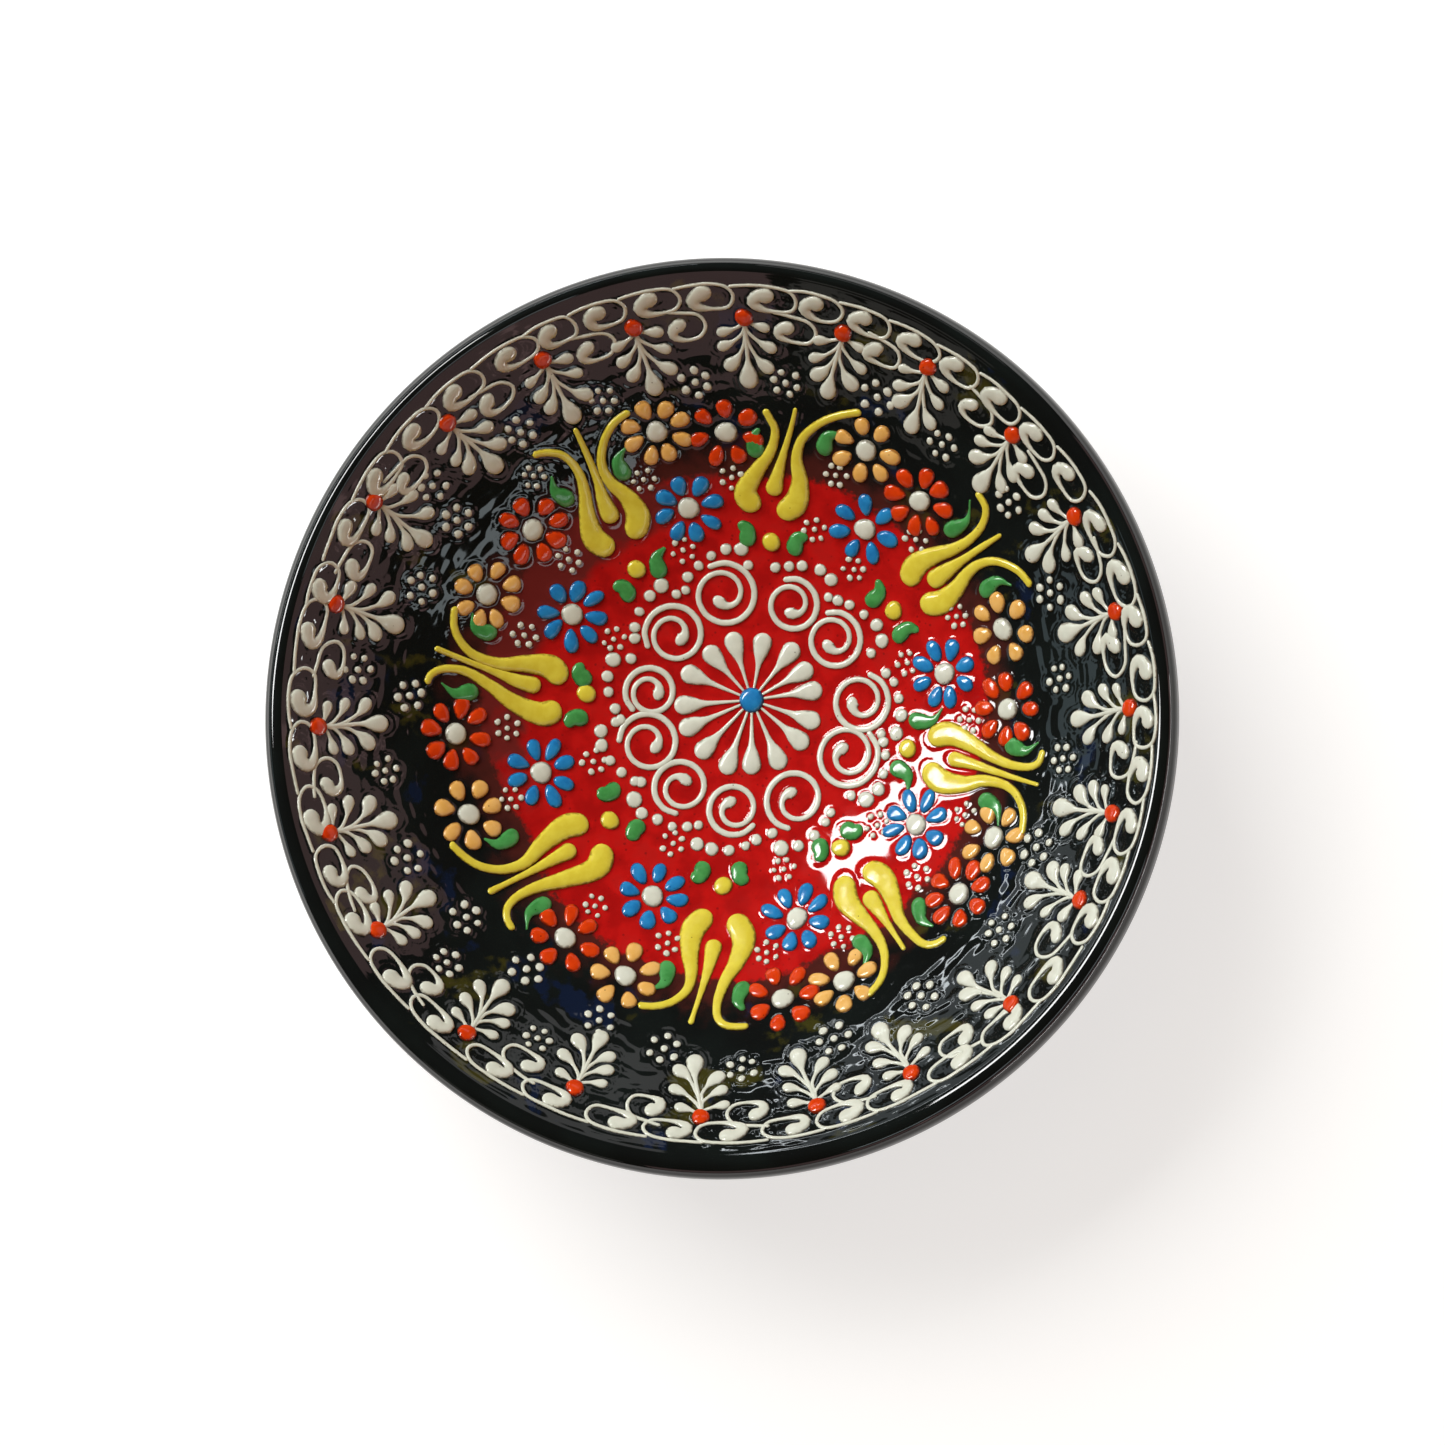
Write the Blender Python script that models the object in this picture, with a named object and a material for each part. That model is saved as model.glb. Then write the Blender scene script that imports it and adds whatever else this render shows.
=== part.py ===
"""A slip-trailed relief plate: a turned clay bowl-plate, its glaze coats and the raised painting on them.

The finished plate is 200 mm across and 50 mm high. The origin is on its axis, where the foot
stands, with +Z up through the mouth and the painting's angles counted from +X towards +Y.
Lengths are in millimetres until each mesh is written in metres.
"""

import math

import bmesh
import bpy
from mathutils import Vector
from mathutils.geometry import tessellate_polygon

MM = 0.001
SEGMENTS = 48  # facets round every turned piece
SMOOTH_BELOW = math.radians(40)  # edges that turn by less than this are shaded smooth

# The bowl: its finished inner face rises as a power of the radius.
MOUTH_RADIUS = 95.0
MOUTH_HEIGHT = 49.0
FLOOR_HEIGHT = 9.0
BOWL_POWER = 2.2
WALL_THICKNESS = 6.0

# The lip and the raised band below it, from the mouth's edge round to the wall outside.
LIP = (
    (95.0, 49.0),
    (95.9, 49.7),
    (97.0, 50.0),
    (98.3, 49.5),
    (99.3, 48.3),
    (99.9, 46.7),
    (100.0, 45.0),
    (99.7, 43.2),
    (98.6, 42.1),
    (96.6, 41.6),
    (93.4, 39.4),
)
WALL_OUTSIDE_FROM = 89.0  # inner radius at which the outer wall leaves the band
WALL_OUTSIDE_TO = 44.0  # inner radius at which it reaches the foot

# Straight steps in the profile of each turned piece.
CLAY_STEPS = 9
FLOOR_GLAZE_STEPS = 6
WALL_GLAZE_STEPS = 5
OUTER_WALL_STEPS = 6

# The turned foot ring and the shallow well inside it.
FOOT_OUTSIDE = ((43.0, 8.2), (42.6, 6.0), (42.3, 1.0))
FOOT_OUTER_RADIUS = 41.3
FOOT_INNER_RADIUS = 36.2
FOOT_INSIDE = ((35.4, 0.9), (34.8, 2.4))
WELL_EDGE_RADIUS = 33.0
WELL_HEIGHT = 3.4
WELL_GLAZE_RADIUS = 32.0

# The coats. Meshes that touch keep a small gap.
GAP = 0.3
GLAZE = 0.4
CLAY_INSET = GAP + GLAZE
RELIEF_FOOT = 0.45
RELIEF_TOP = 1.25
RED_FLOOR_REACH = 58.0  # arc length from the centre to where the red floor turns black
WALL_REACH = 104.6  # arc length to the upper edge of the black wall's glaze
EDGE_GAP = 0.4  # between neighbouring coats, along the surface

# The painting. Places are (angle in degrees, arc length from the plate's centre).
TULIPS = (
    (34.5, 47.5),
    (79.0, 45.5),
    (121.5, 45.5),
    (170.0, 38.5),
    (217.5, 39.5),
    (265.0, 42.5),
    (308.5, 42.5),
    (350.0, 43.5),
)
TULIP_DOTS = (
    (34.5, 44.5),
    (78.5, 42.0),
    (123.0, 42.0),
    (169.0, 35.3),
    (217.5, 36.8),
    (265.5, 37.5),
    (310.0, 37.5),
    (351.0, 40.0),
)
BLUE_FLOWERS = (
    (12.5, 50.0),
    (55.0, 54.0),
    (102.0, 50.5),
    (146.5, 45.5),
    (194.5, 46.5),
    (244.5, 44.5),
    (288.0, 47.5),
    (330.5, 48.5),
)
RED_FLOWERS = (
    (2.0, 65.0),
    (48.5, 68.0),
    (90.5, 67.5),
    (136.0, 65.0),
    (182.5, 65.0),
    (232.5, 64.0),
    (281.0, 66.0),
    (323.0, 67.5),
)
ORANGE_FLOWERS = (
    (18.0, 67.5),
    (62.5, 71.0),
    (104.0, 70.0),
    (152.5, 65.0),
    (199.5, 65.5),
    (247.5, 64.5),
    (294.0, 66.5),
    (336.0, 68.0),
)
PALMETTES = (
    (0.5, 98.5),
    (14.0, 98.0),
    (28.5, 97.0),
    (43.0, 96.5),
    (58.5, 96.5),
    (71.7, 95.5),
    (86.3, 95.0),
    (102.5, 95.0),
    (116.5, 95.5),
    (133.0, 96.5),
    (148.3, 98.5),
    (163.8, 97.0),
    (181.5, 97.5),
    (196.7, 98.8),
    (212.0, 97.5),
    (231.5, 97.5),
    (248.8, 95.5),
    (267.5, 96.0),
    (284.3, 96.0),
    (298.5, 97.0),
    (315.5, 98.5),
    (332.8, 97.0),
    (345.7, 97.0),
)
# Half of one palmette's lower edge: sideways from its axis, and up from its root.
PALMETTE_EDGE = ((7.4, -1.0), (6.6, -5.0), (5.6, -7.6), (4.6, -11.4), (2.4, -12.4), (1.7, -16.2))
GARLAND_TOP = 104.0
SCROLL_DROP = 4.4  # how far the lower scrolls hang below a palmette's root
SCROLL_HALF_WIDTH = 2.6

# The middle rosette stands a little off the plate's axis, ringed by spirals: (x, y, radius).
ROSETTE = (2.9, 5.1)
ROSETTE_PETALS = 15
ROSETTE_RADIUS = 16.2
ROSETTE_WAIST = 6.0
ROSETTE_DOT_RADIUS = 2.9
SPIRALS = (
    (-3.0, 29.0, 6.8),
    (12.5, 26.5, 5.3),
    (22.0, 18.5, 5.5),
    (28.0, 4.5, 5.6),
    (25.0, -7.5, 5.3),
    (13.0, -17.5, 6.2),
    (-1.0, -19.5, 5.9),
    (-13.0, -14.5, 5.4),
    (-20.5, -4.5, 5.2),
    (-20.0, 7.0, 4.8),
    (-14.5, 20.0, 5.6),
)
SPIRAL_TURNS = 1.6
SPIRAL_STEPS = 15
SPIRAL_HALF_WIDTH = 0.6
SPIRAL_EYE = 1.3  # half width of the drop at a spiral's inner end

FLOWER_PETALS = 8
FLOWER_RADIUS = 6.8
FLOWER_WAIST = 4.3
PETAL_TIP = 0.2  # half the share of a petal's width that its blunt tip takes
DOT_RADIUS = 1.9
DOT_LOBES = 4  # a dot is a flower with no waist

# One tulip, as sideways and up from its base: three petals joined at the foot.
TULIP_OUTLINE = (
    (0.0, 0.6),
    (3.6, 0.0),
    (6.3, 3.6),
    (6.2, 7.2),
    (3.9, 12.5),
    (3.2, 18.0),
    (3.9, 23.0),
    (6.6, 26.8),
    (5.6, 28.2),
    (2.5, 24.4),
    (1.5, 18.0),
    (1.2, 24.0),
    (0.4, 29.0),
    (-0.8, 29.0),
    (-1.0, 18.0),
    (-2.4, 24.0),
    (-7.2, 25.6),
    (-7.8, 24.2),
    (-4.8, 22.0),
    (-3.4, 17.0),
    (-3.9, 12.0),
    (-6.4, 7.6),
    (-5.8, 2.8),
    (-3.2, 0.0),
)

CLAY = ("biscuit_clay", (0.58, 0.36, 0.24), 0.8)
BLACK = ("black_glaze", (0.008, 0.012, 0.012), 0.12)
RED = ("red_glaze", (0.42, 0.012, 0.010), 0.12)
CREAM = ("cream_slip", (0.76, 0.74, 0.62), 0.2)
YELLOW = ("yellow_slip", (0.80, 0.62, 0.05), 0.2)
BLUE = ("blue_slip", (0.02, 0.20, 0.55), 0.2)
SCARLET = ("scarlet_slip", (0.78, 0.07, 0.01), 0.2)
ORANGE = ("orange_slip", (0.85, 0.40, 0.12), 0.2)


def clear_scene():
    for item in list(bpy.data.objects):
        bpy.data.objects.remove(item)


def coat(node, finish):
    """The node's own material, in the finish's colour and roughness."""
    name, colour, roughness = finish
    material = bpy.data.materials.new(f"{name}.{node}")
    material.use_nodes = True
    shader = material.node_tree.nodes["Principled BSDF"]
    shader.inputs["Base Color"].default_value = (*colour, 1.0)
    shader.inputs["Roughness"].default_value = roughness
    shader.inputs["Metallic"].default_value = 0.0
    return material


def add_solid(node, vertices, faces, finish):
    """One closed solid, its faces turned outwards, from points in millimetres."""
    shape = bmesh.new()
    corners = [shape.verts.new(Vector(point) * MM) for point in vertices]
    for face in faces:
        shape.faces.new([corners[i] for i in face])
    bmesh.ops.recalc_face_normals(shape, faces=shape.faces)
    mesh = bpy.data.meshes.new(node)
    shape.to_mesh(mesh)
    shape.free()
    mesh.shade_smooth()
    mesh.set_sharp_from_angle(angle=SMOOTH_BELOW)
    mesh.materials.append(coat(node, finish))
    solid = bpy.data.objects.new(node, mesh)
    bpy.context.scene.collection.objects.link(solid)
    return solid


# The bowl's inner face


def bowl_height(radius):
    rise = MOUTH_HEIGHT - FLOOR_HEIGHT
    return FLOOR_HEIGHT + rise * (radius / MOUTH_RADIUS) ** BOWL_POWER


def bowl_slope(radius):
    """The face's angle from level at a radius."""
    rise = MOUTH_HEIGHT - FLOOR_HEIGHT
    share = radius / MOUTH_RADIUS
    return math.atan(rise / MOUTH_RADIUS * BOWL_POWER * share ** (BOWL_POWER - 1))


def reach_table(step=0.25):
    """Arc lengths from the centre for radii a step apart, out to the mouth."""
    reaches = [0.0]
    while len(reaches) * step <= MOUTH_RADIUS:
        radius = len(reaches) * step
        rise = bowl_height(radius) - bowl_height(radius - step)
        reaches.append(reaches[-1] + math.hypot(step, rise))
    return step, reaches


STEP, REACHES = reach_table()


def radius_at(reach):
    """The radius at an arc length from the centre."""
    k = next(i for i in range(1, len(REACHES)) if REACHES[i] >= reach)
    part = (reach - REACHES[k - 1]) / (REACHES[k] - REACHES[k - 1])
    return (k - 1 + part) * STEP


def on_bowl(angle, reach, height):
    """The point a height above the inner face, at an angle and an arc length from the centre."""
    radius = radius_at(reach)
    slope = bowl_slope(radius)
    out = radius - height * math.sin(slope)
    turn = math.radians(angle)
    up = bowl_height(radius) + height * math.cos(slope)
    return (out * math.cos(turn), out * math.sin(turn), up)


# Turned pieces


def offset_line(points, distance):
    """A profile moved to the right of its own direction, which is into the clay."""
    moved = []
    for i, (x, z) in enumerate(points):
        before = points[max(i - 1, 0)]
        after = points[min(i + 1, len(points) - 1)]
        along = Vector((after[0] - before[0], after[1] - before[1])).normalized()
        x_moved = x + along.y * distance if x > 0 else 0.0
        moved.append((x_moved, z - along.x * distance))
    return moved


def turn_solid(node, profile, finish):
    """Turns a profile about the plate's axis. Its ends either both lie on the axis or are joined."""
    vertices = []
    rings = []
    for radius, height in profile:
        if radius == 0:
            rings.append([len(vertices)] * SEGMENTS)
            vertices.append((0.0, 0.0, height))
            continue
        rings.append(list(range(len(vertices), len(vertices) + SEGMENTS)))
        for k in range(SEGMENTS):
            turn = 2 * math.pi * k / SEGMENTS
            vertices.append((radius * math.cos(turn), radius * math.sin(turn), height))
    pairs = list(zip(rings, rings[1:]))
    if profile[0][0] > 0:
        pairs.append((rings[-1], rings[0]))
    faces = []
    for low, high in pairs:
        for k in range(SEGMENTS):
            following = (k + 1) % SEGMENTS
            corners = list(dict.fromkeys([low[k], low[following], high[following], high[k]]))
            if len(corners) > 2:  # two points on the axis have no face between them
                faces.append(corners)
    return add_solid(node, vertices, faces, finish)


def inner_line(start, end, steps):
    """The inner face's profile between two arc lengths."""
    line = []
    for i in range(steps + 1):
        radius = radius_at(start + (end - start) * i / steps)
        line.append((radius, bowl_height(radius)))
    return line


def outer_wall_line(start=WALL_OUTSIDE_FROM):
    """The outer wall, a wall's thickness below the inner face, from the band down to the foot."""
    line = []
    for i in range(OUTER_WALL_STEPS + 1):
        radius = start + (WALL_OUTSIDE_TO - start) * i / OUTER_WALL_STEPS
        slope = bowl_slope(radius)
        outward = radius + WALL_THICKNESS * math.sin(slope)
        line.append((outward, bowl_height(radius) - WALL_THICKNESS * math.cos(slope)))
    return line


def make_clay_body():
    inside = inner_line(0, REACHES[-1], CLAY_STEPS)
    glazed = offset_line(inside + list(LIP[1:]) + outer_wall_line(), CLAY_INSET)
    standing = [(FOOT_OUTER_RADIUS, 0.0), (FOOT_INNER_RADIUS, 0.0)]
    foot = [*FOOT_OUTSIDE, *standing, *FOOT_INSIDE]
    well_height = WELL_HEIGHT + CLAY_INSET
    well = [(WELL_EDGE_RADIUS, well_height), (0.0, well_height)]
    turn_solid("clay_body", glazed + foot + well, CLAY)


def make_coat(node, line, finish):
    """A glaze coat whose outer face is the given line of the finished surface."""
    back = offset_line(line, GLAZE)
    turn_solid(node, line + back[::-1], finish)


def make_glaze():
    make_coat("floor_glaze", inner_line(0, RED_FLOOR_REACH - EDGE_GAP, FLOOR_GLAZE_STEPS), RED)
    make_coat("wall_glaze", inner_line(RED_FLOOR_REACH, WALL_REACH, WALL_GLAZE_STEPS), BLACK)
    make_coat("rim_glaze", list(LIP), BLACK)
    make_coat("outer_glaze", outer_wall_line(WALL_OUTSIDE_FROM - EDGE_GAP), BLACK)
    well = [(WELL_GLAZE_RADIUS, WELL_HEIGHT), (0.0, WELL_HEIGHT)]
    make_coat("foot_well_glaze", well, BLACK)


# Raised painting


def around(place, sideways, up):
    """Angle and arc length of a point beside and above a place on the bowl."""
    angle, reach = place
    return angle + math.degrees(sideways / radius_at(reach + up)), reach + up


def across(x, y):
    """Angle and arc length of a point given in plan near the plate's centre."""
    return math.degrees(math.atan2(y, x)), math.hypot(x, y)


def relief(node, spots, finish, foot=RELIEF_FOOT, top=RELIEF_TOP):
    """A flat-topped piece of slip whose outline runs through the given spots of the bowl."""
    count = len(spots)
    flat = []
    for angle, reach in spots:
        turn = math.radians(angle)
        flat.append(Vector((reach * math.cos(turn), reach * math.sin(turn), 0.0)))
    cap = tessellate_polygon([flat])
    vertices = [on_bowl(angle, reach, foot) for angle, reach in spots]
    vertices += [on_bowl(angle, reach, top) for angle, reach in spots]
    faces = [tuple(face) for face in cap]
    faces += [tuple(i + count for i in reversed(face)) for face in cap]
    for i in range(count):
        after = (i + 1) % count
        faces.append((i, after, after + count, i + count))
    return add_solid(node, vertices, faces, finish)


def lobed_outline(lobes, radius, waist):
    """Sideways and up of a flower's outline, with a flat tip on each petal."""
    outline = []
    for k in range(lobes):
        for share, length in ((-0.5, waist), (-PETAL_TIP, radius), (PETAL_TIP, radius)):
            turn = 2 * math.pi * (k + share) / lobes
            outline.append((length * math.cos(turn), length * math.sin(turn)))
    return outline


def make_flowers(colour, places, finish):
    outline = lobed_outline(FLOWER_PETALS, FLOWER_RADIUS, FLOWER_WAIST)
    for number, place in enumerate(places, 1):
        relief(f"{colour}_flower_{number}", [around(place, u, v) for u, v in outline], finish)


def make_tulips():
    dot = lobed_outline(DOT_LOBES, DOT_RADIUS, DOT_RADIUS)
    for number, place in enumerate(TULIPS, 1):
        relief(f"tulip_{number}", [around(place, u, v) for u, v in TULIP_OUTLINE], YELLOW)
    for number, place in enumerate(TULIP_DOTS, 1):
        relief(f"tulip_dot_{number}", [around(place, u, v) for u, v in dot], YELLOW)


def make_rosette():
    x, y = ROSETTE
    petals = lobed_outline(ROSETTE_PETALS, ROSETTE_RADIUS, ROSETTE_WAIST)
    relief("rosette_petals", [across(x + u, y + v) for u, v in petals], CREAM)
    dot = lobed_outline(DOT_LOBES, ROSETTE_DOT_RADIUS, ROSETTE_DOT_RADIUS)
    foot = RELIEF_TOP + 2 * GAP
    spots = [across(x + u, y + v) for u, v in dot]
    relief("rosette_dot", spots, BLUE, foot, foot + RELIEF_TOP - RELIEF_FOOT)


def spiral_outline(x, y, radius):
    """Both edges of a line that winds in from the side away from the rosette."""
    first = math.atan2(y - ROSETTE[1], x - ROSETTE[0])
    outer = []
    inner = []
    for i in range(SPIRAL_STEPS + 1):
        part = i / SPIRAL_STEPS
        turn = first - 2 * math.pi * SPIRAL_TURNS * part
        middle = radius * (1 - part) + SPIRAL_EYE * part
        half = SPIRAL_HALF_WIDTH
        outer.append((x + (middle + half) * math.cos(turn), y + (middle + half) * math.sin(turn)))
        inner.append((x + (middle - half) * math.cos(turn), y + (middle - half) * math.sin(turn)))
    return outer + inner[::-1]


def make_spirals():
    for number, (x, y, radius) in enumerate(SPIRALS, 1):
        outline = spiral_outline(x, y, radius)
        relief(f"spiral_{number:02d}", [across(u, v) for u, v in outline], CREAM)


def garland_edge():
    """The garland's lower edge: palmettes, with the lower scrolls hanging between them."""
    edge = []
    for k, place in enumerate(PALMETTES):
        right = [around(place, -u, v) for u, v in PALMETTE_EDGE]
        left = [around(place, u, v) for u, v in reversed(PALMETTE_EDGE)]
        following = PALMETTES[(k + 1) % len(PALMETTES)]
        gap = (following[0] - place[0]) % 360
        middle = (place[0] + gap / 2, (place[1] + following[1]) / 2)
        scroll = [around(middle, side * SCROLL_HALF_WIDTH, -SCROLL_DROP) for side in (-1, 1)]
        edge += right + left + scroll
    return edge


def make_garland():
    """One lace ring round the top of the wall."""
    edge = garland_edge()
    vertices = []
    for angle, reach in edge:
        vertices.append(on_bowl(angle, GARLAND_TOP, RELIEF_FOOT))
        vertices.append(on_bowl(angle, GARLAND_TOP, RELIEF_TOP))
        vertices.append(on_bowl(angle, reach, RELIEF_TOP))
        vertices.append(on_bowl(angle, reach, RELIEF_FOOT))
    faces = []
    for k in range(len(edge)):
        here = 4 * k
        there = 4 * ((k + 1) % len(edge))
        for side in range(4):
            after = (side + 1) % 4
            faces.append((here + side, there + side, there + after, here + after))
    add_solid("palmette_garland", vertices, faces, CREAM)


clear_scene()
make_clay_body()
make_glaze()
make_flowers("blue", BLUE_FLOWERS, BLUE)
make_flowers("red", RED_FLOWERS, SCARLET)
make_flowers("orange", ORANGE_FLOWERS, ORANGE)
make_tulips()
make_rosette()
make_spirals()
make_garland()
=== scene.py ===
"""The looks of a slip-trailed relief plate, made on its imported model.

A place on the bowl is (angle, reach): degrees from +X towards +Y, and the arc length in millimetres
from the plate's axis along the inner face. Lengths are in millimetres until a mesh is written.
"""

import math
import random

import bmesh
import bpy
import numpy as np
from mathutils import Matrix, Vector


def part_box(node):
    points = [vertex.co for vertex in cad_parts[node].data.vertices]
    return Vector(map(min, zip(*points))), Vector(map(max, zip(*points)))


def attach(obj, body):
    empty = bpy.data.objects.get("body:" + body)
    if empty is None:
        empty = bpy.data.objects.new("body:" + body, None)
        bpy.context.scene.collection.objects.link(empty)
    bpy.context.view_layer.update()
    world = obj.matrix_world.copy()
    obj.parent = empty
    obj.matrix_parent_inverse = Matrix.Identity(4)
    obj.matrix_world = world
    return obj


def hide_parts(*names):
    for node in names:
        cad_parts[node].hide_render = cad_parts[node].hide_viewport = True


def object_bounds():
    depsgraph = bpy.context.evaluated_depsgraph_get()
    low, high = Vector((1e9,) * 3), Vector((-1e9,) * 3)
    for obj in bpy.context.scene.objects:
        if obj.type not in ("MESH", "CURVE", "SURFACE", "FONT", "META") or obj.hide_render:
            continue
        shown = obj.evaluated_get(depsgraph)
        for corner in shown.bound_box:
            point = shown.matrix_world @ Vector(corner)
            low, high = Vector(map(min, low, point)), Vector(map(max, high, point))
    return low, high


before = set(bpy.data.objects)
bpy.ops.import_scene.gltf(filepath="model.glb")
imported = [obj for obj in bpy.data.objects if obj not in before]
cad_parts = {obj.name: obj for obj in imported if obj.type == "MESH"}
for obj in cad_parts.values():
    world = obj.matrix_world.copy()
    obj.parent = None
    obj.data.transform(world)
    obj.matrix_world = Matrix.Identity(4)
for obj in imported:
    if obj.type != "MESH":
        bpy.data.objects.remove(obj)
CAD_LOW, CAD_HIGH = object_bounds()

MM = 0.001

# The bowl's inner face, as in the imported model.
RIM_RADIUS = (CAD_HIGH.x - CAD_LOW.x) / 2 / MM
RIM_HEIGHT = CAD_HIGH.z / MM
MOUTH_RADIUS = RIM_RADIUS - 5.0
MOUTH_HEIGHT = RIM_HEIGHT - 1.0
FLOOR_HEIGHT = 9.0
BOWL_POWER = 2.2
WALL_THICKNESS = 6.0
MOUTH_SHIFT = 0.8  # the mouth is thrown this far off the rim's centre, towards +Y

# Lip and band, then the wall outside and the foot, as (radius, height).
LIP = (
    (95.0, 49.0), (95.9, 49.7), (97.0, 50.0), (98.3, 49.5), (99.3, 48.3), (99.9, 46.7), (100.0, 45.0),
    (99.7, 43.2), (98.6, 42.1), (96.6, 41.6), (94.6, 40.6), (92.6, 38.9),
)
LIP_GROOVES = ((4.6, 0.10), (7.4, 0.16), (10.0, 0.10))  # (distance along the lip, depth)
GROOVE_WIDTH = 0.45
WALL_OUTSIDE_FROM = 88.2
WALL_OUTSIDE_TO = 45.0
FOOT = (
    (46.2, 10.6), (44.2, 9.3), (43.1, 8.0), (42.7, 6.0), (42.4, 3.0), (42.2, 1.1), (41.6, 0.25),
    (40.8, 0.0), (36.8, 0.0), (36.0, 0.3), (35.3, 1.2), (34.8, 2.5), (33.6, 3.3), (32.0, 3.4),
)
WELL_RADII = (FOOT[-1][0], 20.0, 8.0, 0.0)
WELL_HEIGHT = FOOT[-1][1]
WALL_WAVES = 0.02  # how far the wall outside is from round

# The glaze inside the bowl is a fine polar grid, in three pieces.
FLOOR_REACH = 58.0
KNEE_REACH = 82.0
FLOOR_ROWS = 139
KNEE_ROWS = 58
UPPER_ROWS = 57
COLUMNS = 1440
WIDEST_CELL = 0.4
NEAR_LIMIT = 3.0  # how far from the slip its nearness is still told apart
MENISCUS = 0.12
MENISCUS_REACH = 0.36
HALO = 0.060  # a low ridge in the wall's glaze round everything that stands in it
HALO_AT = 0.95
HALO_WIDTH = 0.25
FLOOR_SWELL = 0.007  # how high the floor's ripples are, and how much higher the wall's
WALL_SWELL = 0.030
WALL_RUNS = 0.030
LIP_FADE = 1.2  # the glaze is even again from this far below the mouth
RED_REACH = 58.5

RNG = random.Random(41)


def smooth(x):
    x = np.clip(x, 0.0, 1.0)
    return x * x * (3 - 2 * x)


def heading(angle, length=1.0):
    """A length along an angle in degrees, as (x, y)."""
    turn = math.radians(angle)
    return length * math.cos(turn), length * math.sin(turn)


def measured(line):
    """The run from a line's start to each of its points."""
    return np.concatenate([[0.0], np.cumsum(np.hypot(np.diff(line[:, 0]), np.diff(line[:, 1])))])


def left_of(line):
    """Unit vectors to the left of a line's run, at each of its points."""
    along = np.gradient(line, axis=0)
    along /= np.hypot(along[:, 0], along[:, 1])[:, None]
    return np.stack([-along[:, 1], along[:, 0]], -1)


# The bowl


def bowl_height(radius):
    rise = MOUTH_HEIGHT - FLOOR_HEIGHT
    return FLOOR_HEIGHT + rise * (np.asarray(radius, float) / MOUTH_RADIUS) ** BOWL_POWER


def bowl_slope(radius):
    rise = (MOUTH_HEIGHT - FLOOR_HEIGHT) / MOUTH_RADIUS * BOWL_POWER
    return np.arctan(rise * (np.asarray(radius, float) / MOUTH_RADIUS) ** (BOWL_POWER - 1))


RADII = np.linspace(0.0, MOUTH_RADIUS + 1.0, 3001)
REACHES = measured(np.column_stack([RADII, bowl_height(RADII)]))
MOUTH_REACH = float(np.interp(MOUTH_RADIUS, RADII, REACHES))


def radius_at(reach):
    return np.interp(reach, REACHES, RADII)


def reach_at(radius):
    return np.interp(radius, RADII, REACHES)


def mouth_shift(radius):
    """How far the surface at a radius moves towards +Y."""
    return MOUTH_SHIFT * smooth((radius - 68.0) / 24.0) * (1 - smooth((radius - 95.0) / 4.5))


def on_bowl(angle, reach, height):
    """Points a height above the inner face."""
    radius = radius_at(reach)
    slope = bowl_slope(radius)
    out = radius - height * np.sin(slope)
    turn = np.radians(angle)
    up = bowl_height(radius) + height * np.cos(slope)
    return np.stack([out * np.cos(turn), out * np.sin(turn) + mouth_shift(radius), up], -1)


def beside(angle, reach):
    """Turns (left, out) from a place into places; left is towards larger angles."""

    def place(left, out):
        far = reach + np.asarray(out, float)
        return angle + np.degrees(np.asarray(left, float) / radius_at(far)), far

    return place


def from_plan(x, y):
    """Turns offsets in plan from a point near the middle into places."""

    def place(across, along):
        east = x + np.asarray(across, float)
        north = y + np.asarray(along, float)
        return np.degrees(np.arctan2(north, east)), np.hypot(east, north)

    return place


def node_place(node):
    """The place under the middle of a CAD node."""
    low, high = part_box(node)
    middle = (low + high) / 2 / MM
    radius = math.hypot(middle.x, middle.y)
    return math.degrees(math.atan2(middle.y, middle.x)), float(reach_at(radius))


# Materials

# A Mix node's colour sockets share their names with others, so they are picked by number.
MIX_COLOUR_A = 6
MIX_COLOUR_B = 7
MIX_COLOUR_RESULT = 2

NOISE_RANGE = (0.3, 0.7)
GLASS = 1.5  # refractive index of the clear glaze on everything but the foot
CLAY = 1.45
BLACK_LOW = (0.0050, 0.0062, 0.0062)
BLACK_HIGH = (0.0070, 0.0100, 0.0095)
OLIVE = (0.046, 0.042, 0.008)
NAVY = (0.006, 0.012, 0.034)
MAROON = (0.075, 0.015, 0.012)
RED_LOW = (0.42, 0.0055, 0.0055)
RED_HIGH = (0.60, 0.0085, 0.0075)
RED_SPECK = (0.33, 0.006, 0.006)
# the red's darker tone towards the upper left, which is painted shade
RED_PAINTED_SHADE = (0.17, 0.018, 0.016)


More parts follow.
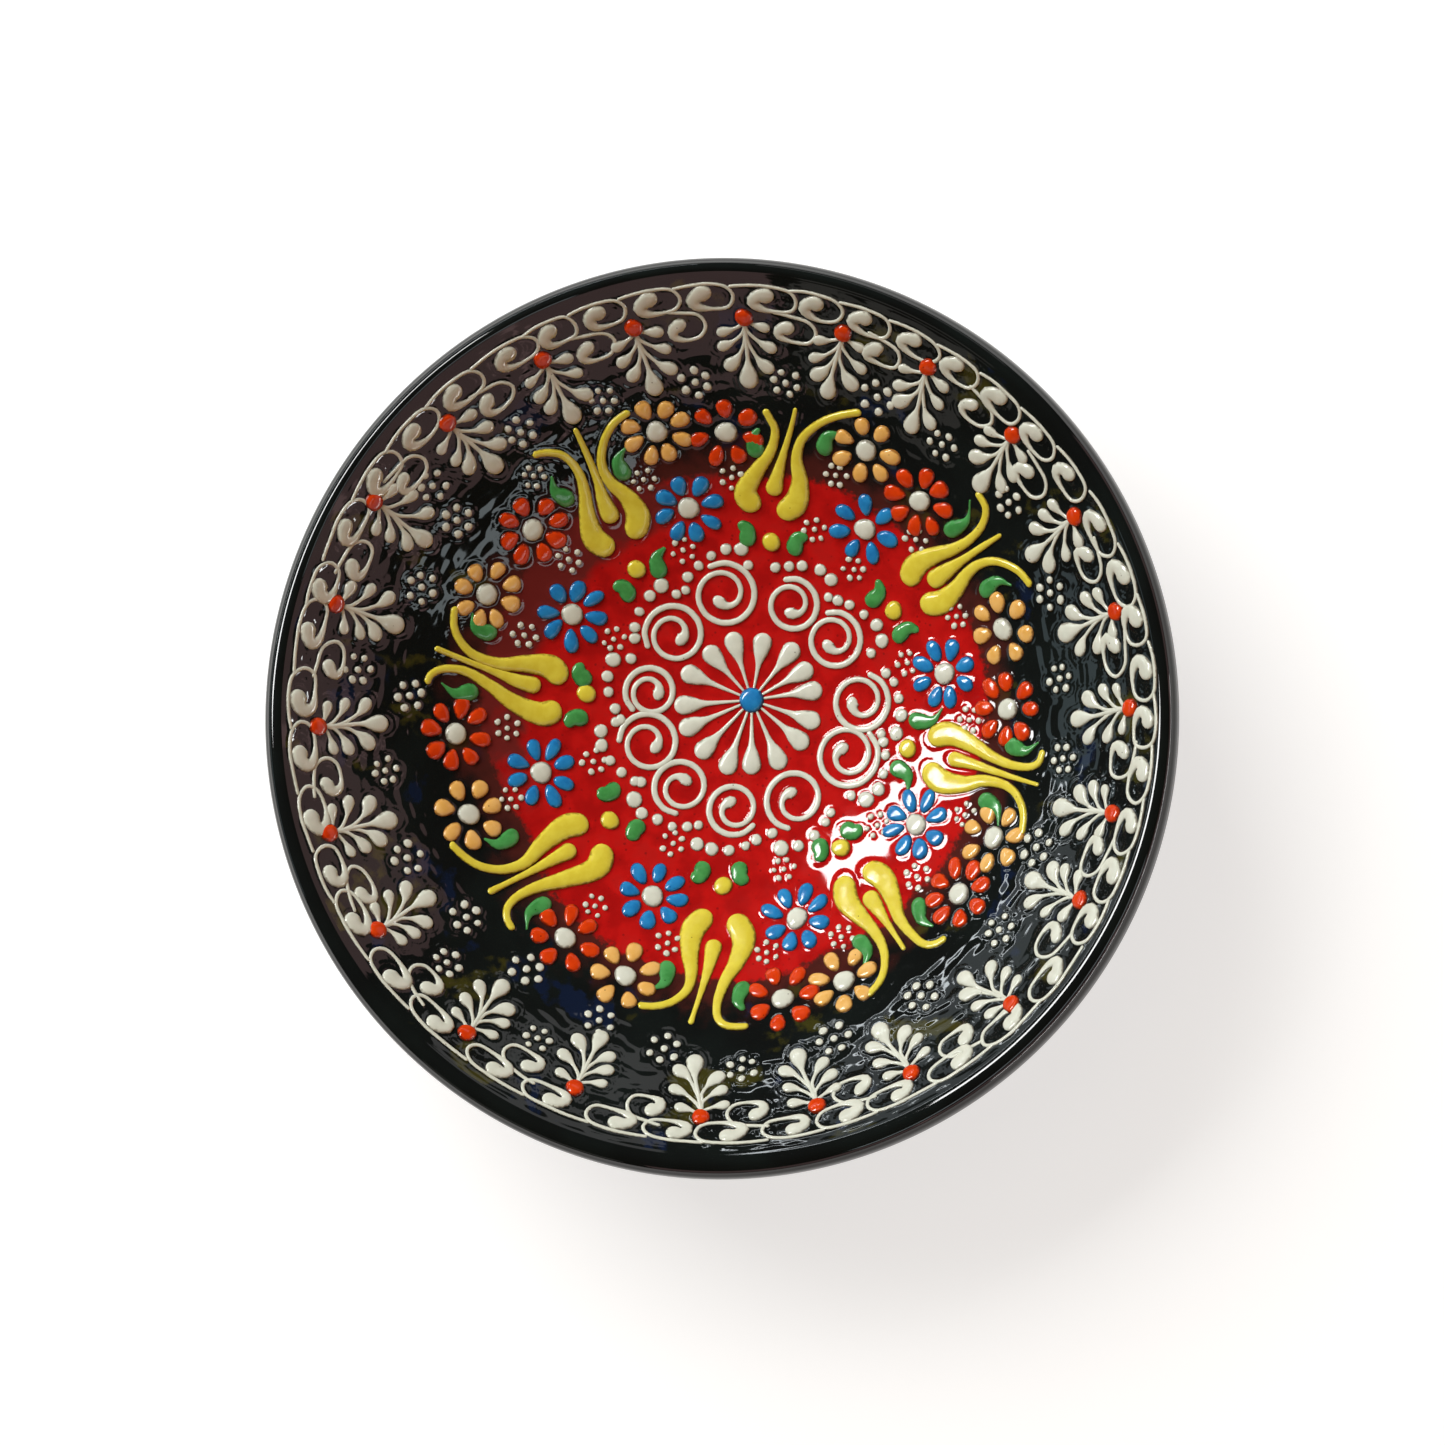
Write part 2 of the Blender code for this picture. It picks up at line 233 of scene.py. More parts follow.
class Paint:
    """A procedural Principled material, whose inputs take sockets and plain values alike."""

    def __init__(self, name, ior):
        self.material = bpy.data.materials.new(name)
        self.material.use_nodes = True
        self.nodes = self.material.node_tree.nodes
        self.links = self.material.node_tree.links
        self.shader = self.nodes["Principled BSDF"]
        self.shader.inputs["IOR"].default_value = ior
        self.place = self.nodes.new("ShaderNodeTexCoord").outputs["Object"]

    def feed(self, socket, value):
        if isinstance(value, bpy.types.NodeSocket):
            self.links.new(value, socket)
        elif isinstance(value, tuple):
            socket.default_value = (*value, 1.0)
        else:
            socket.default_value = value

    def noise(self, scale, detail=2.0, stretch=None):
        """A noise from 0 to 1; the scale is in features per metre."""
        node = self.nodes.new("ShaderNodeTexNoise")
        node.inputs["Scale"].default_value = scale
        node.inputs["Detail"].default_value = detail
        place = self.place
        if stretch:
            mapping = self.nodes.new("ShaderNodeMapping")
            mapping.inputs["Scale"].default_value = stretch
            self.links.new(place, mapping.inputs["Vector"])
            place = mapping.outputs["Vector"]
        self.links.new(place, node.inputs["Vector"])
        return node.outputs["Fac"]

    def spots(self, scale):
        """The distance to the nearest of many scattered points."""
        node = self.nodes.new("ShaderNodeTexVoronoi")
        node.inputs["Scale"].default_value = scale
        self.links.new(self.place, node.inputs["Vector"])
        return node.outputs["Distance"]

    def told(self, name):
        """A value stored on the mesh."""
        node = self.nodes.new("ShaderNodeAttribute")
        node.attribute_name = name
        return node.outputs["Fac"]

    def between(self, value, low, high, to_low=0.0, to_high=1.0):
        """The value, mapped smoothly from one range to another."""
        node = self.nodes.new("ShaderNodeMapRange")
        node.interpolation_type = "SMOOTHSTEP"
        limits = {"From Min": low, "From Max": high, "To Min": to_low, "To Max": to_high}
        for key, number in limits.items():
            node.inputs[key].default_value = number
        self.feed(node.inputs["Value"], value)
        return node.outputs["Result"]

    def spread(self, noise, low, high):
        """A noise, whose values lie mostly in NOISE_RANGE, mapped to another range."""
        return self.between(noise, *NOISE_RANGE, low, high)

    def sum(self, a, b):
        node = self.nodes.new("ShaderNodeMath")
        node.operation = "ADD"
        self.feed(node.inputs[0], a)
        self.feed(node.inputs[1], b)
        return node.outputs["Value"]

    def mix(self, share, a, b):
        """The colour a where the share is 0, and b where it is 1."""
        node = self.nodes.new("ShaderNodeMix")
        node.data_type = "RGBA"
        self.feed(node.inputs["Factor"], share)
        self.feed(node.inputs[MIX_COLOUR_A], a)
        self.feed(node.inputs[MIX_COLOUR_B], b)
        return node.outputs[MIX_COLOUR_RESULT]

    def colour(self, value):
        self.feed(self.shader.inputs["Base Color"], value)

    def rough(self, value):
        self.feed(self.shader.inputs["Roughness"], value)

    def bump(self, height, depth):
        """Fine unevenness, its depth in millimetres."""
        node = self.nodes.new("ShaderNodeBump")
        node.inputs["Distance"].default_value = depth * MM
        node.inputs["Strength"].default_value = 1.0
        self.feed(node.inputs["Height"], height)
        self.links.new(node.outputs["Normal"], self.shader.inputs["Normal"])


def glaze_paint(name, with_red, smeared=True):
    """Near-black glossy glaze, with or without the floor's red, and smears of olive and navy."""
    paint = Paint(name, GLASS)
    cloud = paint.between(paint.noise(60, 3.0), 0.35, 0.7)
    body = paint.mix(cloud, BLACK_LOW, BLACK_HIGH)
    if smeared:
        ragged = paint.spread(paint.noise(300, 3.0), -0.05, 0.05)
        olive = paint.sum(paint.noise(38, 2.0, (1.0, 2.2, 1.0)), ragged)
        body = paint.mix(paint.between(olive, 0.60, 0.68), body, OLIVE)
        navy = paint.sum(paint.noise(52, 2.0, (2.0, 1.0, 1.0)), ragged)
        body = paint.mix(paint.between(navy, 0.63, 0.70), body, NAVY)
    if with_red:
        inside = paint.told("inside")
        brush = paint.noise(170, 4.0)
        grain = paint.noise(1000, 3.0)
        wander = paint.sum(paint.spread(brush, -0.9, 0.9), paint.spread(grain, -0.5, 0.5))
        far_edge = paint.sum(inside, paint.spread(brush, -3.0, 3.0))
        body = paint.mix(paint.between(far_edge, -11.0, -0.5), body, MAROON)
        red = paint.mix(paint.between(brush, 0.35, 0.65), RED_LOW, RED_HIGH)
        red = paint.mix(paint.between(paint.spots(520), 0.10, 0.20), RED_SPECK, red)
        # Painted shade: the mesh's "thin" value darkens the red towards the upper left, where the floor
        # slopes away from the key light.
        thin = paint.sum(paint.told("thin"), paint.spread(brush, -0.25, 0.25))
        red = paint.mix(paint.between(thin, 0.05, 0.75), red, RED_PAINTED_SHADE)
        body = paint.mix(paint.between(paint.sum(inside, wander), -0.9, 0.9), body, red)
    paint.colour(body)
    paint.rough(paint.spread(paint.noise(300, 2.0), 0.03, 0.06))
    paint.bump(paint.noise(420, 2.0), 0.003)
    return paint.material


def slip_paint(name, light, shade, edge, roughness):
    """Trailed slip under clear glaze: uneven, and thin and darker at its edge."""
    paint = Paint(name, GLASS)
    body = paint.mix(paint.spread(paint.noise(420, 3.0), 0.0, 1.0), light, shade)
    ragged_edge = paint.sum(paint.told("edge"), paint.spread(paint.noise(900), -0.08, 0.08))
    body = paint.mix(paint.between(ragged_edge, 0.76, 1.0), body, edge)
    body = paint.mix(paint.between(paint.spots(330), 0.03, 0.07), edge, body)
    paint.colour(body)
    paint.rough(paint.spread(paint.noise(500), roughness - 0.04, roughness + 0.06))
    paint.bump(paint.noise(700, 2.0), 0.02)
    return paint.material


def clay_paint():
    paint = Paint("biscuit_clay_look", CLAY)
    cloud = paint.mix(paint.noise(70, 4.0), (0.50, 0.30, 0.18), (0.62, 0.42, 0.28))
    grit = paint.between(paint.spots(700), 0.10, 0.22)
    paint.colour(paint.mix(grit, (0.20, 0.11, 0.07), cloud))
    paint.rough(paint.between(paint.noise(800), 0.2, 0.8, 0.70, 0.92))
    paint.bump(paint.noise(1200, 3.0), 0.05)
    return paint.material


PAINTS = {
    "floor_glaze": glaze_paint("red_and_black_glaze_look", with_red=True),
    "black_glaze": glaze_paint("plain_black_glaze_look", with_red=False, smeared=False),
    "wall_glaze": glaze_paint("black_glaze_look", with_red=False),
    "biscuit_clay": clay_paint(),
}
# Each slip: its lighter and darker body, its thin edge and its roughness.
SLIPS = {
    "cream_slip": ((0.76, 0.78, 0.68), (0.69, 0.71, 0.61), (0.27, 0.25, 0.20), 0.11),
    "yellow_slip": ((0.82, 0.70, 0.070), (0.76, 0.62, 0.050), (0.34, 0.23, 0.020), 0.14),
    "blue_slip": ((0.025, 0.27, 0.62), (0.015, 0.19, 0.50), (0.008, 0.07, 0.20), 0.11),
    "scarlet_slip": ((0.78, 0.058, 0.004), (0.67, 0.040, 0.003), (0.18, 0.014, 0.003), 0.11),
    "orange_slip": ((0.90, 0.53, 0.165), (0.84, 0.45, 0.105), (0.36, 0.15, 0.03), 0.11),
    "green_slip": ((0.080, 0.36, 0.095), (0.052, 0.27, 0.062), (0.014, 0.08, 0.018), 0.11),
}
for slip, tones in SLIPS.items():
    PAINTS[slip] = slip_paint(f"{slip}_look", *tones)


# Pieces


def add_piece(name, points, faces, slot, nodes, paint=None, told=None, normals=None, sharp=None):
    """One mesh piece that rides on the plate's body and stands for CAD nodes."""
    mesh = bpy.data.meshes.new(name)
    mesh.from_pydata((np.asarray(points) * MM).tolist(), [], faces)
    mesh.shade_smooth()
    for key, values in (told or {}).items():
        layer = mesh.attributes.new(key, "FLOAT", "POINT")
        layer.data.foreach_set("value", np.asarray(values, np.float32))
    if normals is not None:
        mesh.normals_split_custom_set_from_vertices(normals.tolist())
    else:
        shape = bmesh.new()
        shape.from_mesh(mesh)
        bmesh.ops.recalc_face_normals(shape, faces=shape.faces)
        shape.to_mesh(mesh)
        shape.free()
        if sharp:
            mesh.set_sharp_from_angle(angle=math.radians(sharp))
    mesh.materials.append(PAINTS[paint or slot])
    piece = bpy.data.objects.new(name, mesh)
    bpy.context.scene.collection.objects.link(piece)
    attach(piece, "root")
    if nodes:
        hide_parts(*nodes)


FOOTPRINTS = []  # (angle, reach, half width) of everything that stands in the glaze
SUNK = -0.25  # how deep the slip's underside lies in the glaze
# Across a trailed line: (share of its half width, share of its height), with None where it is sunk.
HALF_SECTION = ((1.0, None), (0.96, 0.34), (0.80, 0.74), (0.48, 0.95))
SECTION = (*((-share, lift) for share, lift in HALF_SECTION), (0.0, 1.0), *reversed(HALF_SECTION))
# From a drop's rim to its top, in the same way, and the stations on a line's rounded tip.
DROP_RINGS = ((1.0, None), (0.97, 0.32), (0.87, 0.64), (0.68, 0.86), (0.38, 0.97))
TIP_STATIONS = (0.04, 0.16, 0.36, 0.64, 1.0)
FULL_HEIGHT_HALF = 1.6  # the half width from which a line has its full height
DROP_WOBBLE = 0.035
COMMA_SPACING = 0.7


def spline(points, steps=10):
    """A smooth line through rows of numbers."""
    rows = np.array(points, float)
    padded = np.vstack([2 * rows[0] - rows[1], rows, 2 * rows[-1] - rows[-2]])
    part = np.linspace(0, 1, steps, endpoint=False)[:, None]
    pieces = []
    for a, b, c, d in zip(padded, padded[1:], padded[2:], padded[3:]):
        cubic = 2 * b + (c - a) * part + (2 * a - 5 * b + 4 * c - d) * part**2
        pieces.append((cubic + (3 * b - a - 3 * c + d) * part**3) / 2)
    return np.vstack([*pieces, rows[-1:]])


class Slip:
    """Drops and strokes of one colour, gathered into one piece. Each is a closed solid."""

    def __init__(self):
        self.points = []
        self.faces = []
        self.edge = []
        self.count = 0

    def add(self, place, flat, heights, edge, faces):
        angle, reach = place(flat[:, 0], flat[:, 1])
        self.points.append(on_bowl(angle, reach, heights))
        self.edge.append(edge)
        self.faces += [[i + self.count for i in face] for face in faces]
        self.count += len(flat)

    def drop(self, place, left, out, length, width, turn, height, sides, taper=0.0):
        """A rounded drop.

        turn is the angle of its long axis from outward towards left, and taper narrows its inner end.
        """
        wobble = [RNG.uniform(-DROP_WOBBLE, DROP_WOBBLE) for _ in range(3)]
        phi = np.arange(sides) / sides * 2 * math.pi
        around = 1 + wobble[0] * np.cos(2 * phi + wobble[1] * 90) + wobble[2] * np.cos(3 * phi)
        along = np.cos(phi) * length / 2 * around
        wide = np.sin(phi) * width / 2 * (1 + taper * np.cos(phi)) * around
        cos, sin = heading(turn)
        rim = np.stack([along * sin + wide * cos, along * cos - wide * sin], -1)
        middle = np.array([left, out])
        flat = np.vstack([*[middle + rim * share for share, _ in DROP_RINGS], middle[None]])
        lifts = [SUNK if lift is None else height * lift for _, lift in DROP_RINGS]
        heights = np.append(np.repeat(lifts, sides), height)
        edge = np.append(np.repeat([share for share, _ in DROP_RINGS], sides), 0.0)
        faces = [list(range(sides))]
        last = (len(DROP_RINGS) - 1) * sides
        for k in range(sides):
            after = (k + 1) % sides
            for ring in range(0, last, sides):
                faces.append([ring + k, ring + after, ring + sides + after, ring + sides + k])
            faces.append([last + k, last + after, last + sides])
        self.add(place, flat, heights, edge, faces)
        half = width / 2
        spare = max(0.0, length / 2 - half)
        for part in (-1, 0, 1) if spare > 0.3 else (0,):
            angle, reach = place(left + sin * spare * part, out + cos * spare * part)
            FOOTPRINTS.append((float(angle), float(reach), half * (1 + taper * 0.5 * part)))

    def stroke(self, place, points, height, spacing=0.8):
        """A trailed line through (left, out, half width)."""
        self.trail(place, spline(points), height, spacing)

    def comma(self, place, path, thin, blob, spread, height):
        """A thin line through (left, out) that swells into a round blob about its last point.

        thin and blob are half widths, and the swelling starts spread blobs before the end.
        """
        line = spline(path)
        run = measured(line)
        ahead = line[-1] - line[-2]
        ahead /= np.hypot(*ahead)
        beyond = line[-1] + ahead * blob * np.array([[0.5], [1.0]])
        half = thin + (blob - thin) * smooth(1 - (run[-1] - run) / (spread * blob))
        line = np.vstack([line, beyond])
        half = np.concatenate([half, [blob, blob]])
        self.trail(place, np.column_stack([line, half]), height, COMMA_SPACING)

    def trail(self, place, line, height, spacing):
        """A line with rounded tips, through rows of (left, out, half width)."""
        run = measured(line)
        length = run[-1]
        first, last = line[0, 2], line[-1, 2]
        tips = np.array(TIP_STATIONS)
        middle = np.arange(first * 1.3, length - last * 1.3, spacing)
        stations = np.unique(np.concatenate([tips * first, middle, length - tips * last]))
        at = np.stack([np.interp(stations, run, line[:, i]) for i in range(3)], -1)
        from_start = np.clip(1 - stations / first, 0, 1)
        from_end = np.clip(1 - (length - stations) / last, 0, 1)
        blunt = np.maximum(from_start, from_end)
        shrink = np.sqrt(np.clip(1 - blunt**2, 0, 1))
        half = at[:, 2] * shrink
        thick = np.clip(at[:, 2] / FULL_HEIGHT_HALF, 0.0, 1.0) ** 0.5
        rise = height * shrink**0.5 * thick
        aside = left_of(at[:, :2])
        width = len(SECTION)
        flat, heights, edge = [], [], []
        for share, lift in SECTION:
            flat.append(at[:, :2] + aside * (half * share)[:, None])
            heights.append(np.full(len(at), SUNK) if lift is None else rise * lift)
            edge.append(np.full(len(at), abs(share)))
        flat = np.vstack([np.stack(flat, 1).reshape(-1, 2), line[[0, -1], :2]])
        heights = np.append(np.stack(heights, 1), [SUNK, SUNK])
        edge = np.append(np.stack(edge, 1), [1.0, 1.0])
        faces = []
        rings = len(at)
        for i in range(rings - 1):
            a, b = i * width, (i + 1) * width
            for k in range(width - 1):
                faces.append([a + k, a + k + 1, b + k + 1, b + k])
            faces.append([a, b, b + width - 1, a + width - 1])
        for tip, ring in ((rings * width, 0), (rings * width + 1, (rings - 1) * width)):
            for k in range(width - 1):
                faces.append([tip, ring + k, ring + k + 1])
            faces.append([tip, ring + width - 1, ring])
        self.add(place, flat, heights, edge, faces)
        for left, out, wide in zip(at[:, 0], at[:, 1], half):
            angle, reach = place(left, out)
            FOOTPRINTS.append((float(angle), float(reach), float(wide)))

    def piece(self, name, slot, *nodes):
        told = {"edge": np.concatenate(self.edge)}
        add_piece(name, np.vstack(self.points), self.faces, slot, nodes, told=told, sharp=70)


def dab(name, slot, node, place, size, turn, height, sides):
    """A piece that is one drop."""
    slip = Slip()
    slip.drop(place, 0.0, 0.0, *size, turn, height, sides)
    slip.piece(name, slot, node)


# The painting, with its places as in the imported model

ROUND_DAB = (4.5, 4.2)  # a tulip's dot and a palmette's root
DAB_SIDES = 20
# Each colour of flower: its slip, the petals of each flower, the angle from outward of each one's
# first petal, then a petal's length, width and distance from the middle.
FLOWERS = {
    "blue": ("blue_slip", (8, 7, 8, 8, 8, 8, 8, 8), (8, 27, 5, 25, 6, 14, 15, 0), 5.2, 3.4, 5.6),
    "red": ("scarlet_slip", (8, 8, 7, 8, 8, 7, 7, 8), (-5, 22, 0, 20, -12, 0, -12, 5), 4.9, 3.8, 5.9),
    "orange": ("orange_slip", (7, 7, 8, 8, 7, 7, 7, 7), (25, 30, 13, 7, 25, 30, -18, 25), 4.7, 3.7, 5.8),
}
FLOWER_EYE = (5.3, 4.9)
FLOWER_SIDES = 22
FLOWER_TAPER = 0.22


def make_flowers(colour, slot, petal_counts, phases, length, width, ring):
    for number, (count, phase) in enumerate(zip(petal_counts, phases), 1):
        node = f"{colour}_flower_{number}"
        place = beside(*node_place(node))
        petals = Slip()
        for k in range(count):
            turn = phase + 360 * k / count + RNG.uniform(-4, 4)
            away = ring + RNG.uniform(-0.3, 0.3)
            out, left = heading(turn, away)
            long = length * RNG.uniform(0.92, 1.1)
            wide = width * RNG.uniform(0.9, 1.08)
            turn += RNG.uniform(-6, 6)
            petals.drop(place, left, out, long, wide, turn, 0.8, FLOWER_SIDES, FLOWER_TAPER)
        petals.piece(f"{node}_petals", slot, node)
        turn = RNG.uniform(0, 180)
        dab(f"{node}_eye", "cream_slip", node, place, FLOWER_EYE, turn, 0.95, FLOWER_SIDES)


# Three rows a tulip: its left petal, middle and right petal, through places (angle, reach). The
# middle also has half widths; a side petal's are PETAL_WIDTHS, from its heel to its tip.
PETAL_WIDTHS = (2.4, 2.8, 2.1, 1.45, 1.1, 0.95, 0.9, 0.85)
PETAL_STATIONS = np.linspace(0, 1, len(PETAL_WIDTHS))
TULIPS = (
    ((37.5, 50.5), (39.8, 55), (38.8, 60), (37, 65), (36.3, 70), (36.8, 75), (38.5, 78.3), (41.5, 79.3)),
    ((34.5, 55, 2.6), (34.3, 60, 1.9), (34, 66, 1), (33.7, 72, 0.8), (33.3, 77.5, 0.5)),
    ((31.8, 50.5), (29.2, 55), (29.8, 60), (31.3, 65), (31.3, 69), (29.8, 73), (26.5, 76.5), (23, 78)),
    ((83.5, 48.5), (86.8, 52.5), (84, 58), (81.3, 63), (80.7, 68), (82, 71), (83, 73)),
    ((80, 52.5, 2.4), (79.3, 57, 1.6), (78.5, 63, 0.9), (77.7, 69, 0.65), (77.3, 74.5, 0.5)),
    ((77.5, 48), (73.8, 52), (73.8, 57), (75.5, 62), (75.3, 67), (73, 71.5), (70, 75), (65.8, 78.5)),
    ((125.3, 48), (127.3, 53), (125.3, 58), (122.7, 63), (121.3, 68), (121.8, 73),
     (124, 76), (126.3, 77.5)),
    ((121, 53.5, 2.5), (120.3, 58.5, 1.8), (119, 64, 1), (118, 71, 0.8), (117.5, 77.5, 0.6)),
    ((119, 48), (115, 52), (115, 57), (116.8, 62), (116.5, 67), (114, 71.5), (111, 74.5), (107.5, 76)),
    ((174.5, 40.5), (177.5, 44.5), (175, 51), (171.5, 57), (169.3, 63), (169.5, 68),
     (171, 71), (173, 71.8)),
    ((169.7, 45.5, 2.2), (169.2, 51, 1.6), (168, 57, 0.9), (167, 64, 0.7), (166, 71.5, 0.7)),
    ((167, 40.5), (163.3, 44.5), (164.3, 50), (166, 56), (165.5, 62), (163.5, 66),
     (161, 68.5), (157.3, 70)),
    ((222.5, 41), (226.3, 46), (223, 53), (220.3, 59), (219.3, 64), (219.8, 67.5),
     (221.5, 69.5), (224, 70.3)),
    ((218, 46.5, 2.3), (217.2, 52, 1.5), (216.5, 58, 0.9), (215.8, 64, 0.7), (215.3, 69.3, 0.9)),
    ((214.8, 41), (211.5, 45.5), (212.3, 52), (214, 58), (213, 63), (210.5, 67),
     (207.5, 69.5), (203.5, 71.5)),
    ((269.3, 44), (272.8, 49.5), (271.2, 55), (268.7, 60), (267.6, 65), (268, 69),
     (270, 71), (274, 71.3)),
    ((265.2, 50, 2.4), (264.7, 56, 1.4), (264, 62, 0.8), (263.3, 68, 0.6), (263, 71.3, 0.8)),
    ((262.5, 43.5), (258.8, 48.5), (259.5, 54), (261, 59), (260.8, 63), (258.5, 66.5),
     (255.5, 68.5), (252.3, 69.5)),
    ((311.5, 44.5), (313.8, 49.5), (312.3, 55), (310.6, 60), (310.6, 65), (311.3, 69),
     (313, 71), (315.3, 71.8)),
    ((308, 49.5, 2.3), (308, 53, 1.9), (307.8, 58, 1), (307.7, 63, 0.65), (307.6, 67, 0.55)),
    ((305.5, 43), (302.5, 48), (303.2, 53), (304.3, 58), (304.2, 63), (302.8, 67),
     (300.5, 70), (297, 72)),
    ((354.5, 44.5), (356.5, 49.5), (354.5, 55), (352.3, 60), (351, 65), (350.8, 70),
     (351.8, 73.3), (354.3, 74.3)),
    ((350.3, 50, 2), (349.6, 57, 1.2), (348.6, 66, 0.7), (348, 74.5, 0.45)),
    ((347, 44.8), (343.8, 49.5), (344.5, 55), (346.5, 60), (346.7, 65), (345.5, 69),
     (342.5, 72.3), (338.5, 74)),
)
LEAF_BOW = 0.22  # how far aside a leaf's line bends, as a share of its length
# Four leaves for each tulip: (angle and reach of its fat end, angle and reach of its tip).
LEAVES = (
    ((41, 42, 44, 45.5), (27.5, 42.5, 26, 46.5), (40, 68, 41.3, 75.5), (26.5, 67, 25, 72.5)),
    ((86, 42, 88.5, 45), (71, 42, 68.5, 45), (84.5, 63, 84, 67.5), (70.5, 67, 68.5, 71)),
    ((130, 38.5, 132, 41.5), (117, 39, 112.5, 42.5), (126.5, 64.5, 126, 70), (113.5, 63, 111, 67.5)),
    ((178, 36, 181, 38.5), (164, 36.5, 159.5, 38), (173.5, 61.5, 172.5, 67.5), (160, 60.5, 157.5, 65)),
    ((226, 33, 229, 35), (208.6, 32.4, 206, 35), (224, 61, 225.5, 67), (207.5, 58, 205.5, 63)),
    ((271, 33.5, 274, 36), (257, 34.3, 254, 36.5), (272.5, 62, 273, 66.5), (255.5, 59, 254, 64)),
    ((316, 35.4, 320, 37), (304, 34, 300.5, 36), (315.5, 61, 315, 66.5), (300.5, 59, 299, 64)),
    ((0, 41.5, 3, 47), (344, 38.5, 339, 42), (354.5, 66, 355.5, 72), (342.5, 62, 339, 66.5)),
)


def nearby(angle, reach):
    """Places relative to one of them, as (left, out) of it."""

    def offset(other_angle, other_reach):
        away = (other_angle - angle + 180) % 360 - 180
        return math.radians(away) * float(radius_at(other_reach)), other_reach - reach

    return offset


def side_petal(petal):
    """A side petal's places, each with its half width."""
    widths = np.interp(np.linspace(0, 1, len(petal)), PETAL_STATIONS, PETAL_WIDTHS)
    return [(angle, reach, half) for (angle, reach), half in zip(petal, widths)]


def leaf_path(head, tip):
    """A bowed line from beyond a leaf's tip to its fat end."""
    left, out = tip[0] - head[0], tip[1] - head[1]
    bow = LEAF_BOW if left > 0 else -LEAF_BOW
    bend = (head[0] + left * 0.55 - out * bow, head[1] + out * 0.55 + left * bow)
    end = (head[0] + left * 1.15, head[1] + out * 1.15)
    return end, bend, head


def make_tulips():
    tulips = zip(TULIPS[0::3], TULIPS[1::3], TULIPS[2::3], LEAVES)
    for number, (left_petal, middle, right_petal, leaves) in enumerate(tulips, 1):
        home = middle[0][:2]
        place, offset = beside(*home), nearby(*home)
        petals = Slip()
        for petal in (side_petal(left_petal), side_petal(right_petal), middle):
            petals.stroke(place, [(*offset(angle, reach), half) for angle, reach, half in petal], 0.85)
        petals.piece(f"tulip_{number}_petals", "yellow_slip", f"tulip_{number}")
        node = f"tulip_dot_{number}"
        under = beside(*node_place(node))
        turn = RNG.uniform(0, 180)
        dab(f"tulip_{number}_dot", "yellow_slip", node, under, ROUND_DAB, turn, 0.9, DAB_SIDES)
        foliage = Slip()
        for fat_angle, fat_reach, tip_angle, tip_reach in leaves:
            path = leaf_path(offset(fat_angle, fat_reach), offset(tip_angle, tip_reach))
            foliage.comma(place, path, 0.25, 2.05, 3.7, 0.8)
        foliage.piece(f"tulip_{number}_leaves", "green_slip")


# Petals of the middle rosette: (angle, distance of the fat end's middle).
ROSETTE_PETALS = (
    (106.5, 13.8), (78.6, 13.2), (50.0, 14.2), (28.0, 13.7), (8.0, 14.2), (-19.0, 14.4), (-40.0, 14.5),
    (-66.0, 14.9), (-90.0, 14.6), (-110.0, 15.6), (-134.0, 15.6), (-157.0, 15.6), (-176.0, 15.4),
    (157.0, 15.1), (131.0, 13.7),
)
ROSETTE = (2.9, 5.1)
ROSETTE_DOT = (5.9, 5.6)
# Spirals round the rosette: (x, y, radius, start of the line from outward, turns).
SPIRALS = (
    (-3.0, 29.0, 7.5, 16, 1.8), (12.5, 26.5, 6.3, 42, 1.7), (22.0, 18.5, 6.7, 72, 1.8),
    (28.0, 4.5, 7.0, 76, 1.8), (25.0, -7.5, 7.5, 78, 1.9), (13.0, -17.5, 7.0, -32, 1.5),
    (-1.0, -19.5, 6.2, 65, 1.7), (-13.0, -14.5, 6.5, 34, 1.7), (-20.5, -4.5, 7.0, -22, 1.7),
    (-20.0, 7.0, 6.0, 55, 1.8), (-14.5, 20.0, 7.0, 69, 1.8),
)
SPIRAL_STEPS = 18
# Beads outside each spiral: (angle from outward, distance, diameter). The first spiral has one more.
BEADS = (
    (48, 9.0, 2.5), (28, 8.9, 2.4), (5, 9.3, 2.5), (-17, 10.5, 3.0), (-37, 11.2, 3.5),
    (-56, 9.0, 2.4),
)
ONE_MORE_BEAD = (69, 8.5, 2.2)


def make_rosette():
    place = from_plan(*ROSETTE)
    petals = Slip()
    for angle, away in ROSETTE_PETALS:
        x, y = heading(angle)
        stem = ((2.6, 0.30), (6.0, 0.42), (away - 4.8, 0.75))
        line = (*stem, (away - 2.2, 1.75), (away, 2.3), (away + 2.2, 2.3))
        petals.stroke(place, [(x * far, y * far, half) for far, half in line], 0.85)
    petals.piece("rosette_petals_slip", "cream_slip", "rosette_petals")
    dab("rosette_dot_slip", "blue_slip", "rosette_dot", place, ROSETTE_DOT, 0.0, 1.2, 26)


def spiral_line(radius, start, turns):
    """A line that winds in clockwise from a start angle, and ends in a blob."""
    line = []
    for i in range(SPIRAL_STEPS + 1):
        part = i / SPIRAL_STEPS
        turn = start - 360 * turns * part
        away = 1.2 + (radius - 1.5) * (1 - part**1.9)
        half = 0.70 + 0.06 * math.sin(7 * part) + 1.25 * float(smooth((part - 0.80) / 0.20))
        line.append((*heading(turn, away), half))
    return line


